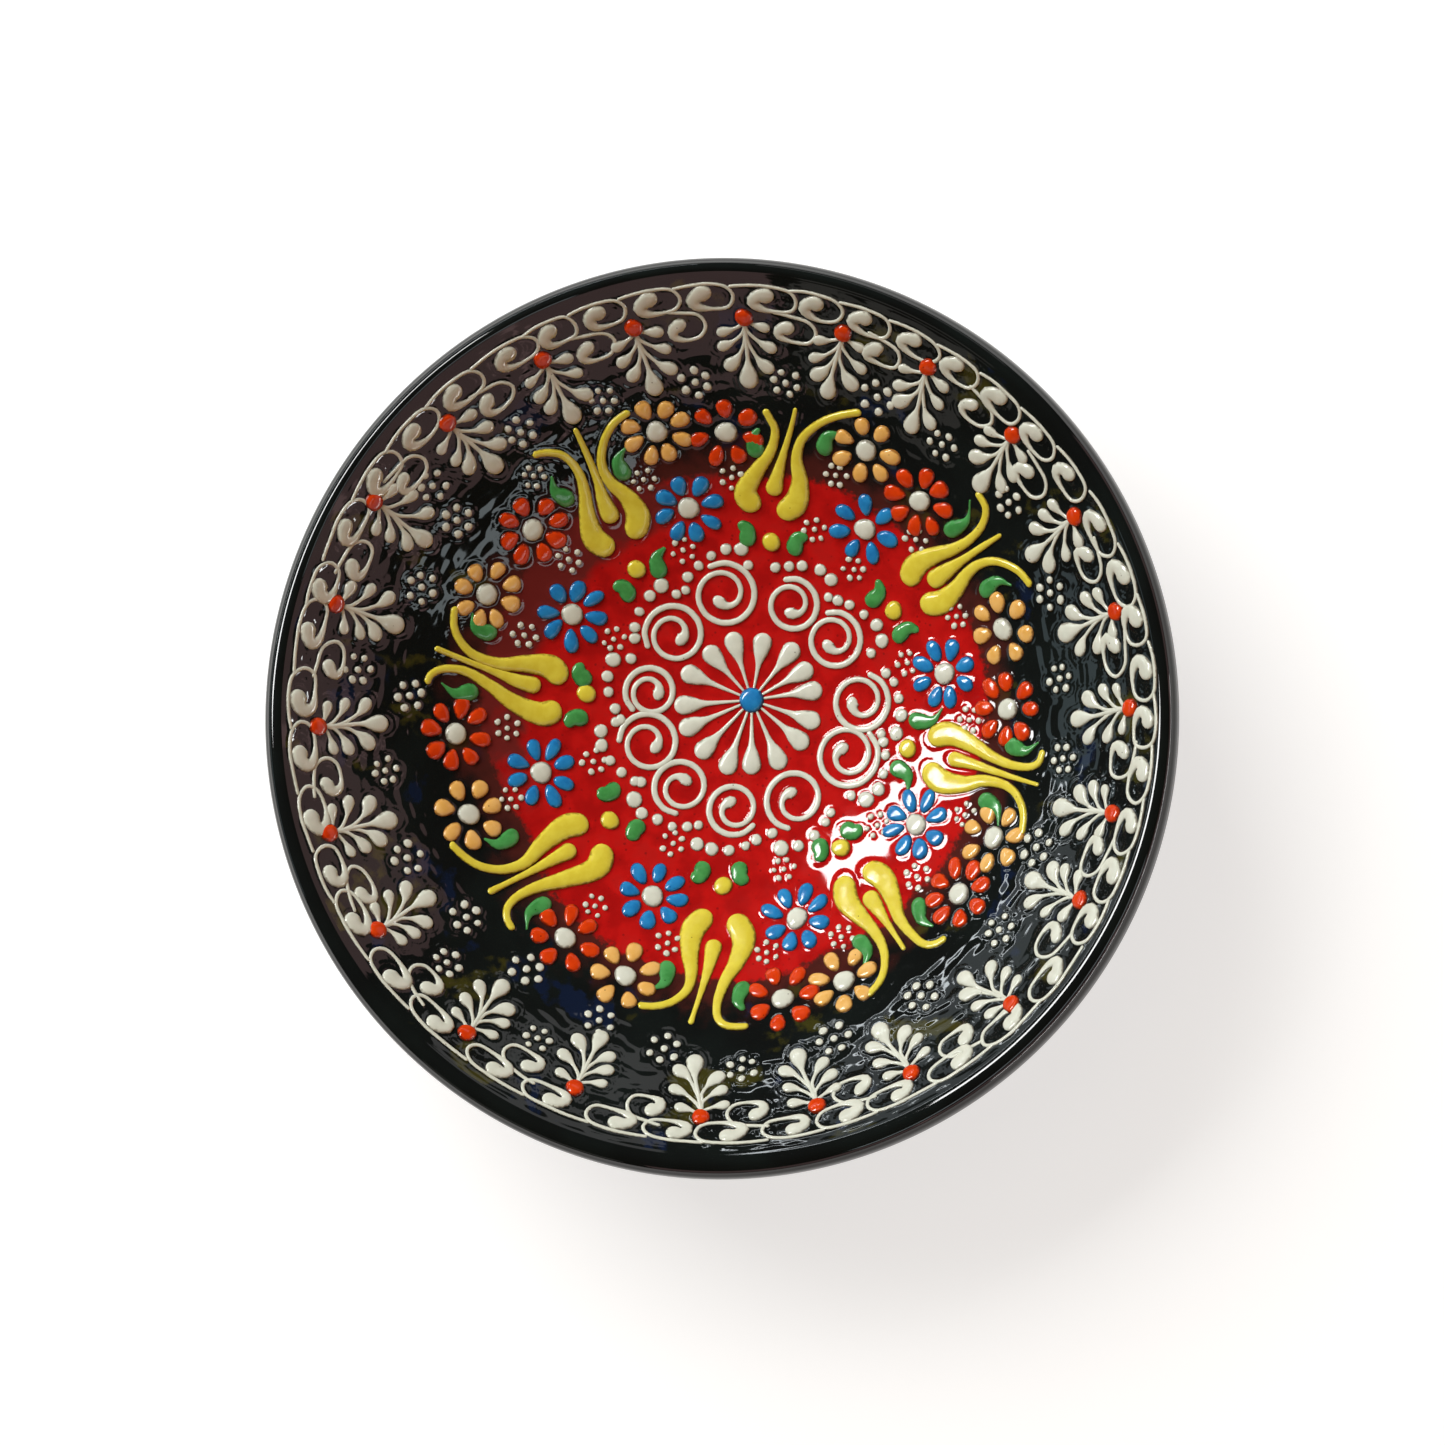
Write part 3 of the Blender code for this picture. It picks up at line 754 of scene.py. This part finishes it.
def make_spirals():
    for number, (x, y, radius, start, turns) in enumerate(SPIRALS, 1):
        place = from_plan(x, y)
        outward = math.degrees(math.atan2(y - ROSETTE[1], x - ROSETTE[0]))
        curl = Slip()
        curl.stroke(place, spiral_line(radius, outward + start, turns), 0.8, 0.7)
        curl.piece(f"spiral_{number:02d}_line", "cream_slip", f"spiral_{number:02d}")
        beads = Slip()
        for angle, away, size in (*BEADS, ONE_MORE_BEAD) if number == 1 else BEADS:
            turn = outward + angle + RNG.uniform(-2.5, 2.5)
            away += RNG.uniform(-0.3, 0.3)
            size *= RNG.uniform(0.9, 1.1)
            across, along = heading(turn, away)
            beads.drop(place, across, along, size * 1.05, size, RNG.uniform(0, 180), 0.65, 14)
        beads.piece(f"spiral_{number:02d}_beads", "cream_slip")


# Clusters of dots: (angle, reach).
FLOOR_CLUSTERS = (
    (0, 54.5), (18.5, 41.5), (24.5, 57), (44, 59.5), (51.5, 44), (66.5, 61.5), (67, 47.5), (90, 56),
    (110, 59.5), (107, 41), (128.5, 73.5), (135.5, 53.5), (146, 34), (157.5, 52.5), (181.5, 52.5),
    (195, 34), (199, 54.5), (233, 53), (242, 31), (253.5, 53), (278.5, 53.5), (288, 35), (297, 55.5),
    (320, 55.5), (324, 40), (338, 58),
)
WALL_CLUSTERS = (
    (79.5, 80), (64, 83.5), (51, 82), (36.5, 84), (20.5, 82), (6.5, 79), (353, 80), (337.5, 79),
    (322.5, 81.5), (305.5, 79.5), (289, 79), (273, 82.5), (259.5, 78.5), (247, 76.5), (240, 88),
    (231, 75), (221.5, 88), (217, 77), (203.5, 82.5), (188.5, 82), (175.5, 75.5), (172.5, 88.5),
    (156.5, 79), (143.5, 79.5), (141.5, 89), (125.5, 83.5), (111, 80.5), (95, 79.5),
)
DOT_HEIGHT = 0.5
DOT_SIDES = 10


def make_clusters(name, places, size, ring, spread):
    """Six small dots round a seventh at each place."""
    dots = Slip()
    for angle, reach in places:
        place = beside(angle, reach)
        phase = RNG.uniform(0, 60)
        scale = RNG.uniform(1 - spread, 1 + spread)
        dots.drop(place, 0.0, 0.0, size * scale, size * scale * 0.95, 0, DOT_HEIGHT, DOT_SIDES)
        for k in range(6):
            turn = phase + 60 * k + RNG.uniform(-7, 7)
            out, left = heading(turn, ring * scale * RNG.uniform(0.9, 1.1))
            wide = size * scale * RNG.uniform(0.88, 1.12)
            dots.drop(place, left, out, wide * 1.08, wide, RNG.uniform(0, 180), DOT_HEIGHT, DOT_SIDES)
    dots.piece(name, "cream_slip")


# The garland: palmettes as (angle, reach of the scarlet root, lean of the middle tip in degrees).
PALMETTES = (
    (0.5, 98.5, -1.0), (14.0, 98.0, -0.5), (28.5, 97.0, -1.0), (43.0, 96.5, -1.0), (58.5, 96.5, -1.5),
    (71.7, 95.5, 0.5), (86.3, 95.0, -0.5), (102.5, 95.0, -0.5), (116.5, 95.5, 0.2),
    (133.0, 96.5, -0.7), (148.3, 98.5, 0.9), (163.8, 97.0, 0.2), (181.5, 97.5, -0.8),
    (196.7, 98.8, 0.0), (212.0, 97.5, -1.0), (231.5, 97.5, -1.3), (248.8, 95.5, -0.1),
    (267.5, 96.0, -2.3), (284.3, 96.0, -1.8), (298.5, 97.0, -1.7), (315.5, 98.5, -2.5),
    (332.8, 97.0, -0.5), (345.7, 97.0, -0.7),
)
# A palmette's petals, as (left, out, radius) of their blobs and how far along the stem each starts.
PALMETTE_PETALS = (
    (4.7, -3.6, 1.35, -0.8), (4.4, -7.5, 1.50, -2.2), (3.0, -11.4, 1.75, -3.8),
    (-4.7, -2.2, 1.40, -0.4), (-5.7, -6.8, 1.50, -1.8), (-5.2, -11.7, 1.75, -3.4),
)
# The upper row's scrolls by their angles, and the lower row's by their places.
UPPER_SCROLLS = (
    358, 351, 344, 337, 330.5, 321.5, 313, 304.3, 295, 287.5, 280, 271, 263.5, 255.5, 246, 237, 226.5,
    218, 208.7, 201.5, 193.5, 184.5, 177, 167.5, 161.5, 152.5, 144.5, 136.5, 128.5, 119.5, 113, 106,
    98.5, 91, 82.5, 75.5, 68.5, 61, 54.3, 47, 40, 33, 25, 17.5, 11.5, 4.5,
)
LOWER_SCROLLS = (
    (49.5, 95), (37, 93), (22, 95.5), (8.5, 95.5), (353.5, 97), (339.5, 96), (326, 96), (306.5, 97),
    (290, 95), (274.5, 95.5), (259.5, 95.5), (240.5, 95.5), (222, 96), (205.5, 96.5), (189, 96.5),
    (172, 95.5), (157, 96), (142.5, 95.5), (125.5, 94), (109, 93.5), (95, 93.5), (79, 93.5),
    (65.5, 94.5),
)


def make_palmettes():
    leaves = Slip()
    roots = Slip()
    for angle, reach, lean in PALMETTES:
        place = beside(angle, reach)
        tip = math.radians(lean) * float(radius_at(reach - 14))
        for left, out, blob, leave in PALMETTE_PETALS:
            left = left * RNG.uniform(0.92, 1.08) + (tip + 1.4) * -out / 30
            out = out * RNG.uniform(0.94, 1.06)
            drop = out - leave
            axis = tip * -out / 40
            bend = (left * 0.14 + axis, leave + drop * 0.38)
            turn = (left * 0.58 + axis * 0.4, leave + drop * 0.80)
            wide = blob * RNG.uniform(0.92, 1.12)
            leaves.comma(place, ((0.0, leave), bend, turn, (left, out)), 0.44, wide, 2.15, 0.7)
        path = ((0.0, -1.5), (tip * 0.45, -6.5), (tip * 0.85, -11.0), (tip, -15.0))
        leaves.comma(place, path, 0.5, 2.1 * RNG.uniform(0.92, 1.1), 2.3, 0.8)
        roots.drop(place, 0.0, 0.0, *ROUND_DAB, RNG.uniform(-40, 40), 1.0, DAB_SIDES)
    leaves.piece("palmette_leaves", "cream_slip", "palmette_garland")
    roots.piece("palmette_roots", "scarlet_slip", "palmette_garland")


def scroll_reach(angle):
    """Where the upper row of scrolls runs; it dips towards +Y and -Y."""
    across = math.cos(math.radians(angle))
    return 100.3 + (2.0 + 0.7 * across) * across**6 + 1.1 * math.exp(-(((angle - 318) / 18) ** 2))


def scroll_squash(angle):
    """The scrolls are drawn flatter and longer towards -Y."""
    return 0.16 * max(0.0, -math.sin(math.radians(angle))) ** 2


# An upper scroll from where it springs off the one before to the middle of its blob, as
# (left, out, half width), and a lower one, which hangs from the upper row.
UPPER_CURL = (
    (7.6, 2.5, 0.42), (4.2, 3.1, 0.44), (0.2, 3.2, 0.46), (-3.6, 2.6, 0.46), (-5.2, 0.2, 0.46),
    (-4.0, -2.5, 0.46), (-0.6, -3.2, 0.50), (2.4, -2.6, 0.90), (3.5, -1.1, 1.30), (2.6, 0.4, 1.45),
    (1.1, 0.8, 1.80), (-0.7, 0.6, 1.85),
)
LOWER_CURL = (
    (4.6, 4.0, 0.42), (1.0, 3.4, 0.46), (-3.2, 2.4, 0.46), (-4.9, -0.4, 0.46), (-3.4, -3.1, 0.46),
    (0.2, -3.7, 0.50), (2.8, -2.8, 0.90), (2.9, -1.0, 1.30), (1.2, 0.2, 1.60), (-0.3, 0.3, 1.70),
)
THICKEST_LINE = 0.6  # the half width from which a scroll is its blob
USUAL_GAP = 11.4  # between two upper scrolls of the drawn width


def curl_line(curl, wide, tall, fat):
    """A scroll's path, stretched and a little out of true, with its blob fattened."""
    line = []
    for left, out, half in curl:
        left = left * wide + RNG.uniform(-0.2, 0.2)
        out = out * tall + RNG.uniform(-0.15, 0.15)
        line.append((left, out, half if half < THICKEST_LINE else half * fat))
    return line


def make_scrolls():
    upper = Slip()
    for angle, before in zip(UPPER_SCROLLS, UPPER_SCROLLS[-1:] + UPPER_SCROLLS[:-1]):
        reach = scroll_reach(angle)
        gap = math.radians((before - angle) % 360) * float(radius_at(reach))
        wide = min(1.12, max(0.88, gap / USUAL_GAP))
        squash = scroll_squash(angle)
        tall = RNG.uniform(0.95, 1.03) - squash
        fat = RNG.uniform(1.06, 1.32) - squash
        line = curl_line(UPPER_CURL, wide * (1 + squash * 0.4), tall, fat)
        line[0] = (gap - 3.7 * wide, 2.6, 0.42)
        upper.stroke(beside(angle, reach), line, 0.75)
    upper.piece("upper_scrolls", "cream_slip", "palmette_garland")
    lower = Slip()
    for angle, reach in LOWER_SCROLLS:
        wide = RNG.uniform(0.88, 1.05)
        tall = RNG.uniform(0.88, 0.98)
        line = curl_line(LOWER_CURL, wide, tall, RNG.uniform(1.0, 1.3))
        lower.stroke(beside(angle, reach), line, 0.75)
    lower.piece("lower_scrolls", "cream_slip", "palmette_garland")


# The glaze, which climbs a little on everything that stands in it


ROWS = np.concatenate([
    np.linspace(0, FLOOR_REACH, FLOOR_ROWS),
    np.linspace(FLOOR_REACH, KNEE_REACH, KNEE_ROWS)[1:],
    np.linspace(KNEE_REACH, MOUTH_REACH, UPPER_ROWS)[1:],
])
# The rows at which the glaze's pieces begin and end.
CUTS = (0, FLOOR_ROWS - 1, FLOOR_ROWS + KNEE_ROWS - 2, len(ROWS) - 1)
TURN_STEP = 360.0 / COLUMNS
# The glaze's pieces from the middle out: name, slot, CAD node and paint. The red ends in the second.
INNER_GLAZE = (
    ("floor_glaze_melt", "red_glaze", "floor_glaze", "floor_glaze"),
    ("lower_wall_glaze_melt", "black_glaze", "wall_glaze", "floor_glaze"),
    ("upper_wall_glaze_melt", "black_glaze", "wall_glaze", "wall_glaze"),
)


def distance_to_slip():
    """For each corner of the polar grid, how far the nearest slip is."""
    near = np.full((len(ROWS), COLUMNS), NEAR_LIMIT)
    row_radii = radius_at(ROWS)
    for angle, reach, half in FOOTPRINTS:
        span = half + NEAR_LIMIT
        low, high = np.searchsorted(ROWS, (reach - span, reach + span))
        radii = row_radii[low:high]
        wide = math.degrees(span / max(float(radii[0]), 1.0)) / TURN_STEP
        wide = min(COLUMNS // 2, math.ceil(wide))
        columns = np.arange(-wide, wide + 1) + round(angle / TURN_STEP)
        half_turn = np.radians(columns * TURN_STEP - angle) / 2
        radius = float(radius_at(reach))
        across = 4 * radii[:, None] * radius * np.sin(half_turn)[None, :] ** 2
        away = np.sqrt((ROWS[low:high, None] - reach) ** 2 + across) - half
        where = np.ix_(np.arange(low, high), columns % COLUMNS)
        near[where] = np.minimum(near[where], away)
    return near


def ripples(x, y):
    """Gentle unevenness of the melted glaze, about 1 high."""
    total = np.zeros_like(x)
    drift = 1.6 * np.sin(x / 7.0 + 0.6) + 1.6 * np.cos(y / 8.0)
    for _ in range(14):
        wave = RNG.uniform(4.5, 13.0)
        turn = RNG.uniform(0, math.pi)
        phase = RNG.uniform(0, 2 * math.pi)
        along = x * math.cos(turn) + y * math.sin(turn)
        total += wave / 13 * np.sin(2 * math.pi * (along + drift) / wave + phase)
    return total / 3.0


def runs(angle, reach):
    """Long low runs of glaze that lie round the wall, about 1 high."""
    around = np.radians(angle)
    total = np.zeros_like(around + reach)
    for _ in range(12):
        wave = RNG.uniform(2.2, 5.0)
        lobes = RNG.randint(9, 40)
        sway = RNG.uniform(0.4, 1.1)
        phase = RNG.uniform(0, 2 * math.pi)
        bends = sway * 3 * np.sin(lobes * around + 2 * phase)
        total += np.sin(2 * math.pi * reach / wave + phase + bends)
    return total / 4.0


def red_edge(angle):
    """The reach at which the floor's red ends, with two dents."""
    turn = np.radians(angle)
    edge = RED_REACH + 0.7 * np.sin(3 * turn + 0.4) + 0.5 * np.sin(7 * turn)
    for at, deep, wide in ((208, 3.6, 16), (90, 1.2, 20)):
        edge = edge - deep * np.exp(-(((angle - at) / wide) ** 2))
    return edge


def red_painted_shade(angle, reach):
    """Where the red is painted darker, towards the upper left: painted shade on the floor's slope that
    faces away from the key light.
    """
    along = smooth(1.2 - np.abs((angle - 145) / 62))
    return smooth((reach - 45.0) / 6.0) * along


def stride_at(radius):
    """How many columns of the grid each cell spans, so that cells stay about as wide as tall."""
    stride = 1
    while stride < 16 and 2 * math.pi * radius * stride * 2 / COLUMNS <= WIDEST_CELL:
        stride *= 2
    return stride


def stitched(rings):
    """Faces between rings of corners, where the next has as many, twice as many or only one."""
    faces = []
    for inner, outer in zip(rings, rings[1:]):
        after_in, after_out = np.roll(inner, -1), np.roll(outer, -1)
        if len(inner) == 1:
            faces += [[int(inner[0]), int(a), int(b)] for a, b in zip(outer, after_out)]
        elif len(outer) == 1:
            faces += [[int(a), int(b), int(outer[0])] for a, b in zip(inner, after_in)]
        elif len(inner) == len(outer):
            faces += np.stack([inner, outer, after_out, after_in], -1).tolist()
        else:
            start, middle = outer[::2], outer[1::2]
            end = np.roll(start, -1)
            faces += np.stack([inner, start, middle, end, after_in], -1).tolist()
    return faces


def make_inner_glaze():
    near = distance_to_slip()
    angle = (np.arange(COLUMNS) * TURN_STEP)[None, :]
    reach = ROWS[:, None]
    x, y = reach * np.cos(np.radians(angle)), reach * np.sin(np.radians(angle))
    swell = FLOOR_SWELL + WALL_SWELL * smooth((reach - 50) / 25)
    wall = smooth((reach - 56) / 20)
    beyond = np.maximum(near, 0)
    height = ripples(x, y) * swell + runs(angle, reach) * WALL_RUNS * wall
    height += MENISCUS * np.exp(-beyond / MENISCUS_REACH)
    height += HALO * wall * np.exp(-(((beyond - HALO_AT) / HALO_WIDTH) ** 2))
    height *= 1 - smooth((reach - MOUTH_REACH + LIP_FADE) / LIP_FADE)
    points = on_bowl(angle, reach, height)
    inside = red_edge(angle) - reach
    # thin carries the red's painted shade towards the upper left, stored on the glaze pieces.
    thin = red_painted_shade(angle, reach)

    around = np.roll(points, -1, axis=1) - np.roll(points, 1, axis=1)
    outwards = np.gradient(points, axis=0)
    normals = np.cross(outwards, around)
    normals[0] = (0.0, 0.0, 1.0)
    normals /= np.linalg.norm(normals, axis=-1)[..., None]

    for (name, slot, node, paint), low, high in zip(INNER_GLAZE, CUTS, CUTS[1:]):
        rows, columns, rings = [], [], []
        for row in range(low, high + 1):
            stride = stride_at(float(radius_at(ROWS[row]))) if row else COLUMNS
            picked = np.arange(0, COLUMNS, stride)
            rings.append(len(rows) + np.arange(len(picked)))
            rows += [row] * len(picked)
            columns += picked.tolist()
        pick = (np.array(rows), np.array(columns))
        told = {"inside": inside[pick], "thin": thin[pick]}
        add_piece(name, points[pick], stitched(rings), slot, (node,), paint, told, normals[pick])


# Turned pieces


def turned(name, profile, slot, node, columns, waves=0.0):
    """Turns a line about the plate's axis; an end on the axis becomes one point."""
    turn = np.arange(columns) / columns * 2 * math.pi
    points, rings = [], []
    for radius, height in profile:
        if radius < 1e-6:
            rings.append(np.array([len(points)]))
            points.append((0.0, 0.0, height))
            continue
        rings.append(len(points) + np.arange(columns))
        sway = radius + waves * (np.sin(5 * turn + height) + 0.6 * np.sin(11 * turn - height * 0.7))
        shift = float(mouth_shift(radius)) if height > MOUTH_HEIGHT - 1.5 else 0.0
        x, y = sway * np.cos(turn), sway * np.sin(turn) + shift
        points += np.stack([x, y, np.full(columns, height)], -1).tolist()
    add_piece(name, points, stitched(rings), slot, (node,))


def outer_wall_line(count):
    radii = np.linspace(WALL_OUTSIDE_FROM, WALL_OUTSIDE_TO, count)
    slopes = bowl_slope(radii)
    out = radii + WALL_THICKNESS * np.sin(slopes)
    up = bowl_height(radii) - WALL_THICKNESS * np.cos(slopes)
    return np.stack([out, up], -1)


def make_turned():
    lip = spline(LIP, 6)
    run = measured(lip)
    depth = sum(deep * np.exp(-(((run - at) / GROOVE_WIDTH) ** 2)) for at, deep in LIP_GROOVES)
    lip = lip - left_of(lip) * depth[:, None]
    turned("lip_glaze_melt", lip, "black_glaze", "rim_glaze", 720)
    wall = outer_wall_line(60)
    outside = np.vstack([lip[-1:], wall])
    turned("outer_wall_glaze_melt", outside, "black_glaze", "outer_glaze", 540, WALL_WAVES)
    foot = np.vstack([wall[-1:], spline(FOOT, 5)])
    turned("foot_clay", foot, "biscuit_clay", "clay_body", 360)
    well = [(radius, WELL_HEIGHT) for radius in WELL_RADII]
    turned("foot_well_glaze_melt", well, "black_glaze", "foot_well_glaze", 180)


for colour, flowers in FLOWERS.items():
    make_flowers(colour, *flowers)
make_tulips()
make_rosette()
make_spirals()
make_clusters("floor_dots", FLOOR_CLUSTERS, 1.4, 2.4, 0.06)
make_clusters("wall_dots", WALL_CLUSTERS, 1.85, 3.0, 0.12)
make_palmettes()
make_scrolls()
make_inner_glaze()
make_turned()


# Stage, light and camera, in metres

STAGE_SIDE = 8.0
FLOOR_GLOW = 0.70
LIGHT_DISTANCE = 1.5
LIGHT_AIM = 0.03  # the height of the point that the lights face
KEY_ALONG = (0.79, 0.62, 0)
BACKGROUND = (0.036, 0.030, 0.022, 1.0)


def make_stage():
    paint = Paint("pale_floor", 1.3)
    paint.colour(paint.mix(paint.noise(3, 2.0), (0.50, 0.50, 0.50), (0.52, 0.52, 0.52)))
    paint.rough(0.9)
    paint.shader.inputs["Emission Color"].default_value = (1.0, 1.0, 1.0, 1.0)
    paint.shader.inputs["Emission Strength"].default_value = FLOOR_GLOW
    mesh = bpy.data.meshes.new("floor")
    half = STAGE_SIDE / 2
    corners = ((-half, -half), (half, -half), (half, half), (-half, half))
    mesh.from_pydata([(x, y, CAD_LOW.z) for x, y in corners], [], [(0, 1, 2, 3)])
    mesh.materials.append(paint.material)
    floor = bpy.data.objects.new("floor", mesh)
    bpy.context.scene.collection.objects.link(floor)


def bearing(azimuth, elevation):
    """Where a light stands, at an azimuth and elevation in degrees as seen from the plate."""
    away, up = heading(elevation, LIGHT_DISTANCE)
    return (*heading(azimuth, away), LIGHT_AIM + up)


def softbox(name, place, along, size, radiance, colour=(1.0, 1.0, 1.0), glossy=True, diffuse=True):
    """A rectangular light turned to the plate about its longer side, which lies along a direction."""
    light = bpy.data.lights.new(name, "AREA")
    light.shape = "RECTANGLE"
    light.size, light.size_y = size
    light.color = colour
    light.energy = radiance * math.pi * size[0] * size[1]
    lamp = bpy.data.objects.new(name, light)
    side = Vector(along).normalized()
    back = Vector(place) - Vector((0, 0, LIGHT_AIM))
    back = (back - side * back.dot(side)).normalized()
    up = back.cross(side)
    turn = Matrix((side, up, back)).transposed().to_4x4()
    lamp.matrix_world = Matrix.Translation(place) @ turn
    lamp.visible_glossy = glossy
    lamp.visible_diffuse = diffuse
    bpy.context.scene.collection.objects.link(lamp)


def card(name, azimuth, elevation, size, radiance, colour):
    """A card beyond the plate, its longer side level, that shows only in reflections."""
    x, y = heading(azimuth)
    softbox(name, bearing(azimuth, elevation), (-y, x, 0.0), size, radiance, colour, diffuse=False)


def make_light():
    world = bpy.data.worlds.new("studio")
    world.use_nodes = True
    world.node_tree.nodes["Background"].inputs["Color"].default_value = BACKGROUND
    bpy.context.scene.world = world
    for name, azimuth, elevation, size, radiance, colour in (
        ("key", 128, 42, (1.2, 0.8), 8.6, (1.0, 1.0, 0.98)),
        ("overhead", 128, 70, (1.2, 1.0), 0.75, (1.0, 0.95, 0.85)),
        ("warm_bounce", -52, 28, (1.6, 0.8), 0.85, (1.0, 0.36, 0.0)),
    ):
        softbox(name, bearing(azimuth, elevation), KEY_ALONG, size, radiance, colour, glossy=False)
    softbox("window", (-0.88, 0.325, 1.0), (-0.70, -0.49, 0), (0.94, 0.23), 26.0, diffuse=False)
    for number, azimuth in enumerate((-87, -50, -13, 24), 1):
        card(f"warm_card_{number}", azimuth, 19.5, (1.0, 0.62), 0.75, (1.0, 0.62, 0.62))
    card("blue_card", 183, 15, (0.8, 0.20), 0.9, (0.70, 0.92, 1.0))
    card("low_card", 135, 12.5, (1.4, 0.28), 0.85, (0.84, 0.95, 1.0))
    card("thin_card", 135, 17.3, (2.0, 0.035), 13.0, (0.90, 0.97, 1.0))
    card("back_card", 75, 18, (0.9, 0.24), 0.8, (1.0, 1.0, 1.0))
    card("side_card", -124, 18, (0.7, 0.30), 0.4, (1.0, 0.95, 0.88))
    card("knee_card", -50, 42.5, (1.3, 0.14), 2.6, (0.84, 0.96, 1.0))
    card("rim_card", -25, 6, (1.9, 0.07), 24.0, (1.0, 1.0, 1.0))


TARGET = Vector((0.0, 0.0, RIM_HEIGHT * MM - 0.004))
DISTANCE = 1.0
TILT_X, TILT_Y = math.radians(8.0), math.radians(-2.0)
AIM_RIGHT, AIM_UP = 0.00143, -0.00118
LENS = 114.95  # focal length and sensor width, in the camera's own millimetres
SENSOR = 36.0


def make_camera():
    back = Vector((math.tan(TILT_X), math.tan(TILT_Y), 1.0)).normalized()
    right = (-back).cross(Vector((0, 1, 0))).normalized()
    up = right.cross(-back)
    lens = bpy.data.cameras.new("camera")
    lens.lens = LENS
    lens.sensor_width = SENSOR
    lens.clip_start, lens.clip_end = 0.05, 20.0
    camera = bpy.data.objects.new("camera", lens)
    turn = Matrix((right, up, back)).transposed().to_4x4()
    aim = TARGET + right * AIM_RIGHT + up * AIM_UP
    camera.matrix_world = Matrix.Translation(aim + back * DISTANCE) @ turn
    bpy.context.scene.collection.objects.link(camera)
    bpy.context.scene.camera = camera
    bpy.context.scene.view_settings.view_transform = "Standard"


make_stage()
make_light()
make_camera()
